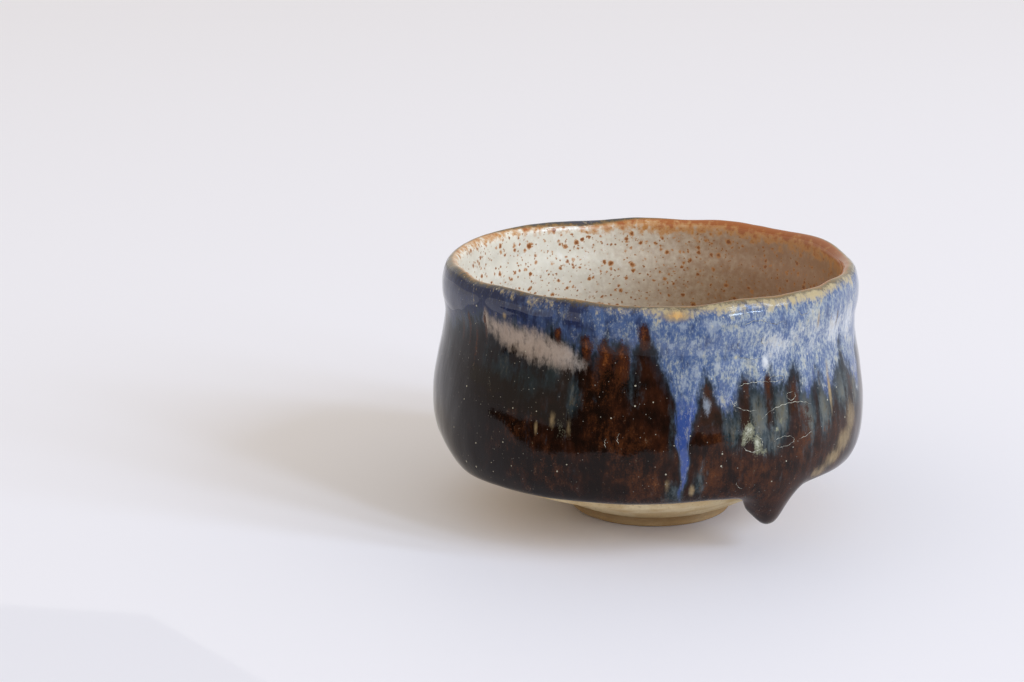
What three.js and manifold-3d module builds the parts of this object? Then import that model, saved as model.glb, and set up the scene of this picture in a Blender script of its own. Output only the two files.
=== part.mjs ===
// A matcha bowl: a thrown stoneware wall on a turned foot, with its coats of glaze as separate shells.
// Millimetres, +Z up. The origin is on the table, under the middle of the bowl's widest ring.
import * as THREE from "three";
import { ParametricGeometry } from "three/addons/geometries/ParametricGeometry.js";
import { mergeVertices } from "three/addons/utils/BufferGeometryUtils.js";
import Module from "manifold-3d";

// ---- Driving dimensions: the outside of the bowl ----
const HEIGHT = 75.4; // table to the crest of the lip
const BELLY_RADIUS = 64.0; // the widest ring
const BELLY_Z = 32.5;
const LIP_INSET = 4.2; // each inset is how much narrower the ring is than the belly
const BULGE_INSET = 3.4; // the slight roll just under the lip
const WAIST_INSET = 4.0;
const WAIST_Z = 60.8;
const HIP_INSET = 3.1; // where the wall turns under
const HIP_Z = 20.9;

// ---- Driving dimensions: walls, floor and foot ----
const LIP_WIDTH = 3.9; // across the lip, just under its crest
const WALL = 5.0; // wall with its glaze, lip to belly
const BASE_THICKNESS = 6.2; // floor with its glaze, over the trimmed underside
const FOOT_RADIUS = 24.0;
const FOOT_WALL = 5.2; // width of the foot ring
const FOOT_HEIGHT = 2.8;
const RECESS_DEPTH = 4.6; // table to the clay inside the foot ring
const FOOT_SHIFT = 1.3; // the foot was turned this far off the bowl's middle, along +X

// ---- Driving dimensions: glazes ----
const IRON_COAT = 0.9; // dark iron glaze, outside
const CREAM_COAT = 0.7; // speckled cream glaze, inside
const BLUE_COAT = 0.5; // cobalt glaze over the iron glaze
const LIP_BAND_OUT = 2.2; // the ochre band, from the crest down the outside
const LIP_BAND_IN = 2.6; // the same, down the inside
const BLUE_HEM = 14; // mm down from the crest that the blue band reaches between its runs
const SEAM = 0.2; // clearance between one layer and the next

// ---- Driving dimensions: the hanging drop ----
const DROP_AZIMUTH = 307.5;
const DROP_INSET = 4.9; // how far inside the hip the tip hangs
const DROP_TIP_Z = 9.3; // table to the tip
const DROP_LEAN = 0.12; // mm that the drop leans sideways for each mm of height
const DROP_FLATNESS = 0.66; // depth of the drop over its width

// ---- How far the bowl is from a true turned shape ----
const HIP_SAG = 2.1; // the hip hangs lower on one side
const HIP_SAG_AZIMUTH = 214;
const HIP_FLAT = 1.5; // a pressed flat on the hip
const HIP_FLAT_AZIMUTH = 193;
const LIP_FLARE = 0.8; // the lip leans out here
const LIP_FLARE_AZIMUTH = 35;

// Rises and dips of the lip: [azimuth in degrees, mm]
const LIP_WAVES = [
  [9, -0.35], [30, 0.45], [50, -0.1], [67, 0.4], [80, -0.3], [94, 0], [108, -0.6], [132, 0.3],
  [150, -0.05], [171, 0.15], [190, -0.05], [203, 0.35], [212, -0.25], [227, 0.45], [240, 0.05],
  [249, 0.4], [262, -0.55], [281, -0.6], [297, 0.5], [310, 0.1], [325, -0.25], [333, 0.45], [346, -0.1],
];

// Runs of the blue glaze: [azimuth in degrees, half width in degrees, mm that it falls below the hem]
const BLUE_RUNS = [
  [281, 13, 12], [279.5, 4.5, 46], [289, 5, 20], [302, 9, 10], [326, 14, 9], [20, 12, 14], [38, 5, 30],
  [74, 16, 9], [104, 5, 36], [112, 13, 12], [150, 10, 10], [172, 5, 24], [205, 12, 5],
];

// ---- Fineness of the meshes ----
const AROUND = 48;
const WALL_STEPS = 12;
const LIP_STEPS = 5;
const RUN_STEPS = 144;

// ---- Radii that follow from the belly ----
const LIP_RADIUS = BELLY_RADIUS - LIP_INSET;
const BULGE_RADIUS = BELLY_RADIUS - BULGE_INSET;
const WAIST_RADIUS = BELLY_RADIUS - WAIST_INSET;
const HIP_RADIUS = BELLY_RADIUS - HIP_INSET;
const DROP_RADIUS = HIP_RADIUS - DROP_INSET;

const radians = THREE.MathUtils.degToRad;
const rise = THREE.MathUtils.smoothstep; // rise(x, low, high) goes smoothly from 0 to 1

// ---- The skin: the glazed surface in section, from the hip up, over the lip and down to the floor ----

// Section of the flank between belly and waist: [share of the way up, share of the way in].
const FLANK = [[0.23, 0.09], [0.5, 0.4], [0.76, 0.8]];

const innerBelly = BELLY_RADIUS - WALL;
const footEdge = FOOT_RADIUS + 2.4; // where the underside meets the foot's shoulder
const footEdgeZ = FOOT_HEIGHT + 0.9;

// Height of the trimmed underside at a radius: a straight cone from the foot's shoulder to the hip.
function undersideZ(radius) {
  const slope = (HIP_Z - 1.4 - footEdgeZ) / (HIP_RADIUS - 3.6 - footEdge);
  return footEdgeZ + slope * Math.max(0, radius - footEdge);
}

// The flank's section points, moved inwards by offset.
function flank(offset) {
  return FLANK.map(([up, inward]) => [
    THREE.MathUtils.lerp(BELLY_RADIUS, WAIST_RADIUS, inward) - offset,
    THREE.MathUtils.lerp(BELLY_Z, WAIST_Z, up),
  ]);
}

const outside = [
  [HIP_RADIUS - 3.3, HIP_Z - 1.6],
  [HIP_RADIUS, HIP_Z],
  [BELLY_RADIUS - 1.2, HIP_Z + 2.9],
  [BELLY_RADIUS - 0.3, BELLY_Z - 5],
  [BELLY_RADIUS, BELLY_Z],
  ...flank(0),
  [WAIST_RADIUS, WAIST_Z],
  [BULGE_RADIUS, HEIGHT - 9.4],
  [BULGE_RADIUS, HEIGHT - 4.9],
  [LIP_RADIUS, HEIGHT - 1.2],
];
const crest = [LIP_RADIUS - 0.5 * LIP_WIDTH, HEIGHT];
const inside = [
  [LIP_RADIUS - LIP_WIDTH, HEIGHT - 1.5],
  [BULGE_RADIUS - WALL, HEIGHT - 4.9],
  [BULGE_RADIUS - WALL, HEIGHT - 9.4],
  [WAIST_RADIUS - WALL, WAIST_Z],
  ...flank(WALL).reverse(),
  [innerBelly, BELLY_Z],
];
const floor = [innerBelly - 1.4, innerBelly - 5.5, innerBelly - 13, 0.58 * innerBelly, 0.3 * innerBelly, 0];
const floorRound = [3.0, 0.6, 0, 0, 0, 0]; // how far the corner of wall and floor is filled
const bottom = floor.map((radius, i) => [radius, undersideZ(radius) + BASE_THICKNESS + floorRound[i]]);

const stations = [...outside, crest, ...inside, ...bottom];
const skin = new THREE.SplineCurve(stations.map(([r, z]) => new THREE.Vector2(r, z)));
const FINE = 40; // divisions of each span when its length is measured
skin.arcLengthDivisions = FINE * (stations.length - 1);
const lengths = skin.getLengths();
const SKIN_END = lengths.at(-1);
const CREST_AT = lengths[FINE * outside.length];
const BAND_START = CREST_AT - LIP_BAND_OUT;
const BAND_END = CREST_AT + LIP_BAND_IN;

// Thickness of the glaze at a place along the skin: iron outside, cream inside, blended over the lip.
function coat(along) {
  return THREE.MathUtils.lerp(IRON_COAT, CREAM_COAT, rise(along, BAND_START, BAND_END));
}

// The section point at a distance along the skin, moved outwards by lift.
function skinPoint(along, lift) {
  const u = THREE.MathUtils.clamp(along / SKIN_END, 0, 1);
  const point = skin.getPointAt(u);
  const tangent = skin.getTangentAt(u);
  const radius = point.x + tangent.y * lift + tangent.x * (along - u * SKIN_END);
  const z = point.y - tangent.x * lift + tangent.y * (along - u * SKIN_END);
  return new THREE.Vector2(u === 1 ? 0 : radius, z);
}

function steps(from, to, count) {
  return Array.from({ length: count + 1 }, (_, i) => THREE.MathUtils.lerp(from, to, i / count));
}

// All layers share these stations, so their facets lie parallel and the seam stays open everywhere.
const wallStations = steps(0, BAND_START - SEAM, WALL_STEPS);
const bandStations = steps(BAND_START, BAND_END, LIP_STEPS);
const innerStations = steps(BAND_END + SEAM, SKIN_END, WALL_STEPS);

// ---- From the section to the hand-made bowl ----

// 1 at an azimuth, falling away over a width, both in degrees.
function near(azimuth, centre, width) {
  const away = THREE.MathUtils.euclideanModulo(azimuth - centre + 180, 360) - 180;
  return Math.exp(-((away / width) ** 2));
}

function lipWave(azimuth) {
  const turned = THREE.MathUtils.euclideanModulo(azimuth - LIP_WAVES[0][0], 360) + LIP_WAVES[0][0];
  const ring = [...LIP_WAVES, [LIP_WAVES[0][0] + 360, LIP_WAVES[0][1]]];
  const after = ring.findIndex(([angle]) => angle > turned);
  const [angle, height] = ring[after - 1];
  const [nextAngle, nextHeight] = ring[after];
  const share = (turned - angle) / (nextAngle - angle);
  return THREE.MathUtils.lerp(height, nextHeight, 0.5 - 0.5 * Math.cos(Math.PI * share));
}

// Puts a section point (radius, z) at an azimuth in degrees, with the bowl's hand-made unevenness.
function place(azimuth, radius, z, target) {
  const sagShare = (0.5 + 0.5 * Math.cos(radians(azimuth - HIP_SAG_AZIMUTH))) ** 4;
  const atHip = (1 - rise(z, 22, 42)) * rise(z, FOOT_HEIGHT + 0.4, 16);
  const pressed = HIP_FLAT * near(azimuth, HIP_FLAT_AZIMUTH, 20) * Math.exp(-(((z - HIP_Z) / 6) ** 2));
  const flared = LIP_FLARE * near(azimuth, LIP_FLARE_AZIMUTH, 22) * rise(z, HEIGHT - 15, HEIGHT);
  const onAxis = radius < 1e-9 ? 0 : 1; // the axis itself stays straight
  const r = radius + onAxis * (flared - pressed);
  const wave = radius > 0.5 * BELLY_RADIUS ? lipWave(azimuth) * rise(z, 45, HEIGHT) : 0;
  const sag = HIP_SAG * sagShare * atHip * rise(radius, 0.4 * BELLY_RADIUS, 0.85 * BELLY_RADIUS);
  const x = r * Math.cos(radians(azimuth)) + FOOT_SHIFT * (1 - rise(z, 3, 16));
  target.set(x, r * Math.sin(radians(azimuth)), z + wave - sag);
}

// A solid swept once round the bowl. outline holds section points in order, going outwards along the
// underside, up the outside and down the inside. It runs from axis to axis, or closes on itself.
function turned(outline, around = AROUND) {
  const surface = (u, v, target) => {
    const point = outline[Math.round(v * (outline.length - 1))];
    const section = typeof point === "function" ? point(360 * u) : point;
    place(360 * (u < 1 ? u : 0), section.x, section.y, target);
  };
  return new ParametricGeometry(surface, around, outline.length - 1);
}

// The outline of a layer that covers the given stations between two lifts, with rounded ends.
function layer(along, top, under, roundStart) {
  const outer = along.map((mm) => skinPoint(mm, top(mm)));
  const inner = along.map((mm) => skinPoint(mm, under(mm))).reverse();
  const start = along[0];
  const thickness = top(start) - under(start);
  const nose = skinPoint(start - 0.45 * thickness, under(start) + 0.5 * thickness);
  return roundStart ? [nose, ...outer, ...inner, nose] : [...outer, ...inner, outer[0]];
}

// ---- Joining and cutting ----

const wasm = await Module();
wasm.setup();

function toSolid(geometry) {
  const bare = geometry.clone();
  bare.deleteAttribute("normal");
  bare.deleteAttribute("uv");
  const merged = mergeVertices(bare, 1e-4);
  return new wasm.Manifold(
    new wasm.Mesh({
      numProp: 3,
      vertProperties: new Float32Array(merged.attributes.position.array),
      triVerts: new Uint32Array(merged.index.array),
    }),
  );
}

function toGeometry(solid) {
  const { vertProperties, triVerts } = solid.getMesh();
  const geometry = new THREE.BufferGeometry();
  geometry.setAttribute("position", new THREE.BufferAttribute(vertProperties, 3));
  geometry.setIndex(new THREE.BufferAttribute(triVerts, 1));
  geometry.computeVertexNormals();
  return geometry;
}

// ---- The sub-parts ----

const bowl = new THREE.Group();

function addPart(name, geometry, color, roughness) {
  const mesh = new THREE.Mesh(geometry, new THREE.MeshStandardMaterial({ color, roughness, metalness: 0 }));
  mesh.name = name;
  bowl.add(mesh);
}

// The clay: floor recess, flat seat over the foot ring, bare cone, then everything under the glazes.
function clayBody() {
  const seat = FOOT_HEIGHT + SEAM;
  const underCoat = (mm) => skinPoint(mm, -coat(mm) - SEAM);
  const glazed = [...wallStations, ...bandStations, ...innerStations].map(underCoat);
  const hem = glazed[0];
  const cone = [0.33, 0.67].map((share) => {
    const radius = THREE.MathUtils.lerp(footEdge, hem.x, share);
    return new THREE.Vector2(radius, THREE.MathUtils.lerp(footEdgeZ, hem.y, share));
  });
  return turned([
    new THREE.Vector2(0, RECESS_DEPTH),
    new THREE.Vector2(0.7 * (FOOT_RADIUS - FOOT_WALL), RECESS_DEPTH - 0.2),
    new THREE.Vector2(FOOT_RADIUS - FOOT_WALL - 0.6, seat),
    new THREE.Vector2(FOOT_RADIUS + 0.5, seat),
    new THREE.Vector2(footEdge, footEdgeZ),
    ...cone,
    ...glazed,
  ]);
}

// The foot ring: a flat standing face, a small chamfer on each edge and slightly spread walls.
function footRing() {
  const chamfer = 0.6;
  const inner = FOOT_RADIUS - FOOT_WALL;
  const section = [
    [inner + chamfer, 0],
    [FOOT_RADIUS - chamfer, 0],
    [FOOT_RADIUS, chamfer],
    [FOOT_RADIUS + 0.3, FOOT_HEIGHT],
    [inner - 0.4, FOOT_HEIGHT],
    [inner, chamfer],
    [inner + chamfer, 0],
  ];
  return turned(section.map(([r, z]) => new THREE.Vector2(r, z)));
}

// The cream glaze lines the inside from the lip band down to the middle of the floor.
function innerGlaze() {
  const under = innerStations.map((mm) => skinPoint(mm, -coat(mm))).reverse();
  const top = innerStations.map((mm) => skinPoint(mm, 0));
  return turned([...under, ...top]);
}

function outerGlaze() {
  return turned(layer(wallStations, () => 0, (mm) => -coat(mm), true));
}

function lipGlaze() {
  return turned(layer(bandStations, () => 0, (mm) => -coat(mm), false));
}

// How far the blue glaze comes down at an azimuth, in mm along the skin from the crest.
function blueReach(azimuth) {
  const falls = BLUE_RUNS.map(([centre, halfWidth, fall]) => fall * near(azimuth, centre, halfWidth));
  return Math.min(BLUE_HEM + Math.max(...falls), CREST_AT - 1.5);
}

// The blue glaze: a shell over the whole iron glaze, kept only above the lower edge of its runs.
function blueGlaze() {
  const shell = turned(layer(wallStations, () => SEAM + BLUE_COAT, () => SEAM, false));
  const edge = (radius) => (azimuth) =>
    new THREE.Vector2(radius, skinPoint(CREST_AT - blueReach(azimuth), 0).y);
  const within = 0.6 * BELLY_RADIUS;
  const beyond = 1.3 * BELLY_RADIUS;
  const lid = [beyond, within].map((radius) => new THREE.Vector2(radius, HEIGHT + 5));
  const kept = turned([edge(within), edge(beyond), ...lid, edge(within)], RUN_STEPS);
  return toGeometry(toSolid(shell).intersect(toSolid(kept)));
}

// The drop of glaze that hangs from the hip: an oval pendant, cut to the shape of the hip above it.
function glazeDrop() {
  // Half width of the drop, side to side, at each height over its tip.
  const profile = [
    [0, 0], [0.5, 2.2], [1.1, 3.1], [2.4, 4.3], [4.3, 5.6], [6.5, 7.2], [9, 9], [14, 12], [18, 12], [18, 0],
  ];
  const inwards = 0.3; // mm that the drop leans under the bowl for each mm of height
  const azimuth = radians(DROP_AZIMUTH);
  const radial = new THREE.Vector3(Math.cos(azimuth), Math.sin(azimuth), 0);
  const side = new THREE.Vector3(-radial.y, radial.x, 0);
  const surface = (u, v, target) => {
    const [height, halfWidth] = profile[Math.round(v * (profile.length - 1))];
    const turn = 2 * Math.PI * (u < 1 ? u : 0);
    const depth = DROP_FLATNESS * halfWidth * Math.cos(turn);
    target.set(0, 0, DROP_TIP_Z + height);
    target.addScaledVector(radial, DROP_RADIUS - inwards * height + depth);
    target.addScaledVector(side, halfWidth * Math.sin(turn) - DROP_LEAN * height);
  };
  const pendant = new ParametricGeometry(surface, 24, profile.length - 1);
  const keepOut = turned([
    new THREE.Vector2(0, footEdgeZ - SEAM),
    new THREE.Vector2(footEdge, footEdgeZ - SEAM),
    ...wallStations.map((mm) => skinPoint(mm, SEAM)),
    new THREE.Vector2(0, HEIGHT),
  ]);
  return toGeometry(toSolid(pendant).subtract(toSolid(keepOut)));
}

addPart("clay_body", clayBody(), 0xc9b48a, 0.85);
addPart("foot_ring", footRing(), 0xc2a878, 0.9);
addPart("inner_glaze", innerGlaze(), 0xd9d3c4, 0.35);
addPart("outer_glaze", outerGlaze(), 0x2a1a14, 0.15);
addPart("blue_glaze", blueGlaze(), 0x34508f, 0.2);
addPart("lip_glaze", lipGlaze(), 0xa0793f, 0.3);
addPart("glaze_drop", glazeDrop(), 0x1a1110, 0.12);

export default bowl;
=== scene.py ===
# %% [markdown]
# # A matcha bowl in iron and cobalt glaze
# A wide tea bowl thrown in buff stoneware on a small turned foot. A dark iron glaze covers the outside and
# hangs in one big drop, cobalt glaze runs down over it from the lip, and a speckled cream glaze lines the
# inside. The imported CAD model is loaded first: it fixes every size, and each layer below stands for one of
# its nodes. Lengths in the formulas are millimetres and become metres when a mesh is made.

# %% Load the fixed frame
import math

import bpy
import numpy as np
from mathutils import Matrix, Vector


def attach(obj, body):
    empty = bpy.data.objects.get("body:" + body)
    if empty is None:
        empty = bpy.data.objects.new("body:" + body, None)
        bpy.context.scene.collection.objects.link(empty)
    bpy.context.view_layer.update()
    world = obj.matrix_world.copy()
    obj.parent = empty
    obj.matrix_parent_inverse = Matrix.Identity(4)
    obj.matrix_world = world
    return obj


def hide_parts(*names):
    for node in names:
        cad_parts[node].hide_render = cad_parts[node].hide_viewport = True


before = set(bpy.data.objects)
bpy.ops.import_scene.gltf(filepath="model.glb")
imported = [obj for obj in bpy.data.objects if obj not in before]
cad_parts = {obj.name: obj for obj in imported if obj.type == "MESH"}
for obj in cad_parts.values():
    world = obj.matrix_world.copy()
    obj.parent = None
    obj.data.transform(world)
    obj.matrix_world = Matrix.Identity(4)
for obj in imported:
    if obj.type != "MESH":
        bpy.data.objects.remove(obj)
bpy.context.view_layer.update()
scene = bpy.context.scene
print("CAD nodes:", sorted(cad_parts))

# %% [markdown]
# ## The section of the bowl
# A potter's bowl is one section turned round an axis. The section is a smooth curve through a few stations:
# up the outside from the hip, over the lip, and down the inside to the middle of the floor. A subdivided
# cylinder could be pulled to the same shape, but a curve keeps the sizes exact, and every coat of glaze can
# follow it at its own distance.

# %% Sizes of the bowl
HEIGHT = 75.4
BELLY_RADIUS, BELLY_Z = 64.0, 32.5
LIP_RADIUS, LIP_WIDTH = 59.8, 3.9
BULGE_RADIUS = 60.6
WAIST_RADIUS, WAIST_Z = 60.0, 60.8
HIP_RADIUS, HIP_Z = 60.9, 20.9
WALL = 5.0
BASE_THICKNESS = 6.2
FOOT_RADIUS, FOOT_WALL, FOOT_HEIGHT = 24.0, 5.2, 2.8
FOOT_INNER = FOOT_RADIUS - FOOT_WALL
FOOT_EDGE = FOOT_RADIUS + 2.4
FOOT_EDGE_Z = FOOT_HEIGHT + 0.9
RECESS_DEPTH = 4.6
FOOT_SHIFT = 1.3
COAT = 0.9
UNDERSIDE_SLOPE = (HIP_Z - 1.4 - FOOT_EDGE_Z) / (HIP_RADIUS - 3.6 - FOOT_EDGE)


def underside_z(radius):
    """Height of the bare underside: a straight cone from the foot's shoulder out to the hip."""
    return FOOT_EDGE_Z + UNDERSIDE_SLOPE * np.maximum(0, radius - FOOT_EDGE)


# %% The skin curve through the stations
def flank(offset):
    """Three stations between belly and waist, moved inwards by offset."""
    shares = [(0.23, 0.09), (0.5, 0.4), (0.76, 0.8)]
    return [
        (BELLY_RADIUS + (WAIST_RADIUS - BELLY_RADIUS) * inward - offset, BELLY_Z + (WAIST_Z - BELLY_Z) * up)
        for up, inward in shares
    ]


inner_belly = BELLY_RADIUS - WALL
outside = [
    (HIP_RADIUS - 3.3, HIP_Z - 1.6),
    (HIP_RADIUS, HIP_Z),
    (BELLY_RADIUS - 1.2, HIP_Z + 2.9),
    (BELLY_RADIUS - 0.3, BELLY_Z - 5),
    (BELLY_RADIUS, BELLY_Z),
    *flank(0),
    (WAIST_RADIUS, WAIST_Z),
    (BULGE_RADIUS, HEIGHT - 9.4),
    (BULGE_RADIUS, HEIGHT - 4.9),
    (LIP_RADIUS, HEIGHT - 1.2),
]
inside = [
    (LIP_RADIUS - 0.5 * LIP_WIDTH, HEIGHT),
    (LIP_RADIUS - LIP_WIDTH, HEIGHT - 1.5),
    (BULGE_RADIUS - WALL, HEIGHT - 4.9),
    (BULGE_RADIUS - WALL, HEIGHT - 9.4),
    (WAIST_RADIUS - WALL, WAIST_Z),
    *flank(WALL)[::-1],
    (inner_belly, BELLY_Z),
]
floor_radii = np.array([
    inner_belly - 1.4, inner_belly - 5.5, inner_belly - 13, 0.58 * inner_belly, 0.3 * inner_belly, 0,
])
floor_z = underside_z(floor_radii) + BASE_THICKNESS + np.array([3.0, 0.6, 0, 0, 0, 0])
stations = np.array([*outside, *inside, *zip(floor_radii, floor_z)])
SPAN_POINTS = 60


def smooth_through(points, per_span=SPAN_POINTS):
    """A Catmull-Rom curve: each span is a cubic whose end slopes are half the chord between its neighbours."""
    padded = np.vstack([points[:1], points, points[-1:]])
    t = np.linspace(0, 1, per_span, endpoint=False)[:, None]
    spans = []
    for a, b, c, d in zip(padded[:-3], padded[1:-2], padded[2:-1], padded[3:]):
        v0, v1 = (c - a) / 2, (d - b) / 2
        spans.append((2 * b - 2 * c + v0 + v1) * t**3 + (3 * c - 3 * b - 2 * v0 - v1) * t**2 + v0 * t + b)
    return np.vstack([*spans, points[-1:]])


curve = smooth_through(stations)
chords = np.linalg.norm(np.diff(curve, axis=0), axis=1)
along_curve = np.concatenate([[0], np.cumsum(chords)])
slopes = np.gradient(curve, axis=0) / np.linalg.norm(np.gradient(curve, axis=0), axis=1)[:, None]
SKIN_END = along_curve[-1]
CREST_AT = along_curve[SPAN_POINTS * len(outside)]
BAND_START, BAND_END = CREST_AT - 2.2, CREST_AT + 2.6
print(f"skin {SKIN_END:.1f} mm long, crest at {CREST_AT:.1f} mm")


def skin(along, lift):
    """Section point (radius, z) at a distance along the skin, moved outwards square to it by lift.
    Past the start the curve goes on straight, as the underside does."""
    inside_curve = np.clip(along, 0, SKIN_END)
    radius, z, out_r, up_z = (np.interp(inside_curve, along_curve, c) for c in (*curve.T, *slopes.T))
    past = along - inside_curve
    return radius + up_z * lift + out_r * past, z - out_r * lift + up_z * past


# %% [markdown]
# ## From a turned section to a hand-made bowl
# No tea bowl is a perfect solid of revolution. The lip rises and dips a millimetre, the hip sags on one side
# and was pressed flat where the potter's hand held it, and the foot was turned a little off the middle.
# These are smooth functions of the azimuth (0 along +X, anticlockwise seen from above) added to the section.

# %% Waves of the lip: (azimuth, mm up or down)
LIP_WAVES = np.array([
    (9, -0.35), (30, 0.45), (50, -0.1), (67, 0.4), (80, -0.3), (94, 0), (108, -0.6), (132, 0.3),
    (150, -0.05), (171, 0.15), (190, -0.05), (203, 0.35), (212, -0.25), (227, 0.45), (240, 0.05),
    (249, 0.4), (262, -0.55), (281, -0.6), (297, 0.5), (310, 0.1), (325, -0.25), (333, 0.45), (346, -0.1),
])


def rise(x, low, high):
    """Goes smoothly from 0 at low to 1 at high."""
    t = np.clip((x - low) / (high - low), 0, 1)
    return t * t * (3 - 2 * t)


def away(azimuth, centre):
    """Degrees from centre, from -180 to 180."""
    return (azimuth - centre + 180) % 360 - 180


def near(azimuth, centre, width):
    """1 at the centre azimuth, falling away as a bell of the given width in degrees."""
    return np.exp(-((away(azimuth, centre) / width) ** 2))


def facing(azimuth, centre):
    """1 on the side at the centre azimuth, 0 on the far side, and a cosine between them."""
    return 0.5 + 0.5 * np.cos(np.radians(azimuth - centre))


def eased_ring(knots, azimuth):
    """A value round the bowl: a half cosine carries it from each (azimuth, value) knot to the next."""
    knots = np.vstack([knots, knots[:1] + [360, 0]])
    turned = (azimuth - knots[0, 0]) % 360 + knots[0, 0]
    after = np.clip(np.searchsorted(knots[:, 0], turned, side="right"), 1, len(knots) - 1)
    start, start_value = knots[after - 1, 0], knots[after - 1, 1]
    end, end_value = knots[after, 0], knots[after, 1]
    return start_value + (end_value - start_value) * (0.5 - 0.5 * np.cos(np.pi * (turned - start) / (end - start)))


SAG_AZIMUTH = 214


def place(azimuth, radius, z):
    """Puts section points at an azimuth, with the sag, the pressed flat, the flare and the waves of the lip."""
    sag_share = facing(azimuth, SAG_AZIMUTH) ** 4
    at_hip = (1 - rise(z, 22, 42)) * rise(z, FOOT_HEIGHT + 0.4, 16)
    pressed = 1.5 * near(azimuth, 193, 20) * np.exp(-(((z - HIP_Z) / 6) ** 2))
    flared = 0.8 * near(azimuth, 35, 22) * rise(z, HEIGHT - 15, HEIGHT)
    r = radius + (flared - pressed) * rise(radius, 0, 2)
    wave = eased_ring(LIP_WAVES, azimuth) * rise(z, 45, HEIGHT) * (radius > 0.5 * BELLY_RADIUS)
    sag = 2.1 * sag_share * at_hip * rise(radius, 0.4 * BELLY_RADIUS, 0.85 * BELLY_RADIUS)
    x = r * np.cos(np.radians(azimuth)) + FOOT_SHIFT * (1 - rise(z, 3, 16))
    return np.stack([x, r * np.sin(np.radians(azimuth)), z + wave - sag], axis=-1)


# %% [markdown]
# ## A grid becomes a mesh
# Every layer is one grid: columns go round the bowl, rows go along the section. The same rows of corner
# numbers give every face, so numpy can write the whole mesh at once. A layer of glaze is a closed loop (out
# along its face, back along its underside), and the clay is open at both ends, where a pole closes it.

# %% Grid to mesh
def grid_mesh(name, points, loop=False, poles=(), **fields):
    """Mesh from rows x columns x 3 points in mm. Columns join round the bowl. Rows join too if loop is set,
    and each point in poles closes the first or the last row. fields are stored as attributes."""
    rows, around = points.shape[:2]
    number = np.arange(rows * around).reshape(rows, around)
    below = number if loop else number[:-1]
    above = np.roll(number, -1, axis=0) if loop else number[1:]
    faces = np.stack([below, np.roll(below, -1, axis=1), np.roll(above, -1, axis=1), above], axis=-1).reshape(-1, 4)
    corners, sizes = [faces.ravel()], [np.full(len(faces), 4)]
    vertices = [points.reshape(-1, 3)]
    for i, pole in enumerate(poles):
        ring = number[0] if i == 0 else number[-1][::-1]
        tip = np.full(around, rows * around + i)
        corners.append(np.stack([np.roll(ring, -1), ring, tip], axis=-1).ravel())
        sizes.append(np.full(around, 3))
        vertices.append(np.array([pole], float))
    vertices, corners, sizes = np.vstack(vertices), np.concatenate(corners), np.concatenate(sizes)
    mesh = bpy.data.meshes.new(name)
    mesh.vertices.add(len(vertices))
    mesh.vertices.foreach_set("co", (vertices / 1000).astype(np.float32).ravel())
    mesh.loops.add(len(corners))
    mesh.loops.foreach_set("vertex_index", corners.astype(np.int32))
    mesh.polygons.add(len(sizes))
    mesh.polygons.foreach_set("loop_start", np.concatenate([[0], np.cumsum(sizes)[:-1]]).astype(np.int32))
    mesh.polygons.foreach_set("use_smooth", np.ones(len(sizes), bool))
    mesh.update(calc_edges=True)
    for field, values in fields.items():
        on_grid = np.broadcast_to(values, (rows, around)).ravel()
        grown = np.concatenate([on_grid, np.full(len(poles), np.mean(values))])
        mesh.attributes.new(field, "FLOAT", "POINT").data.foreach_set("value", grown.astype(np.float32))
    piece = bpy.data.objects.new(name, mesh)
    scene.collection.objects.link(piece)
    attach(piece, "root")
    print(f"{name}: {len(vertices)} points, {int((sizes - 2).sum())} triangles")
    return piece


# %% [markdown]
# ## Where each glaze lies
# The wall was dipped in iron glaze, then the lip was dipped in cobalt glaze, which melted and ran. Between the
# runs the iron shows through as brown fingers. Milky clouds lie where the glaze is thick, and rust breaks
# through where it is thin. Painting this by hand would need an image, and noise alone can't put a run where
# it is, so each mark is a bell-shaped spot with a place and a size. The spots become smooth fields on the
# mesh, and the material gives them their crisp, streaky edges.

# %% Lower edge of the cobalt glaze: (azimuth, height over the table)
COBALT_EDGE = np.array([
    (0, 52), (6, 57), (11, 50), (17, 44), (23, 51), (29, 58), (34, 49), (38, 33), (42, 50), (48, 60), (55, 55),
    (62, 58), (69, 49), (75, 47), (82, 53), (90, 60), (97, 55), (101, 44), (104, 27), (107, 45), (112, 50),
    (119, 57), (128, 61), (137, 55), (146, 51), (154, 50), (161, 58), (167, 54), (172, 38), (176, 53),
    (184, 61), (193, 62), (201, 61), (208, 63), (214, 66), (220, 67.5), (225, 66), (229, 65.5), (233, 66.5),
    (239, 65), (243, 65.5), (246, 68.5), (248.5, 64), (251, 62), (254, 66.5), (256.6, 61.5), (259, 65),
    (261.2, 63.5), (263.5, 65.5), (265.8, 60), (267, 62), (269, 70.5), (270.6, 67), (272.3, 63), (274, 58.5),
    (276, 54), (276.9, 48), (277.5, 40), (278.1, 30), (278.7, 20), (279.2, 16.5), (279.7, 21), (280.1, 31),
    (280.6, 40), (281.8, 47), (283.6, 53), (285.6, 55.5), (287.2, 54), (288.6, 48), (290, 45), (291.6, 46.5),
    (293.5, 51), (296, 55.5), (298.2, 53.5), (299.6, 51.5), (301, 51), (302.5, 55), (304.2, 52.5), (306, 50.5),
    (308.5, 53), (311, 55.5), (313.6, 52), (315.6, 47), (317.6, 46.5), (319.5, 52), (321.5, 51.5), (323.5, 46),
    (325.2, 47), (328, 51), (331, 51), (334, 57), (337, 50), (342, 44), (348, 53), (354, 56),
])


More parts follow.
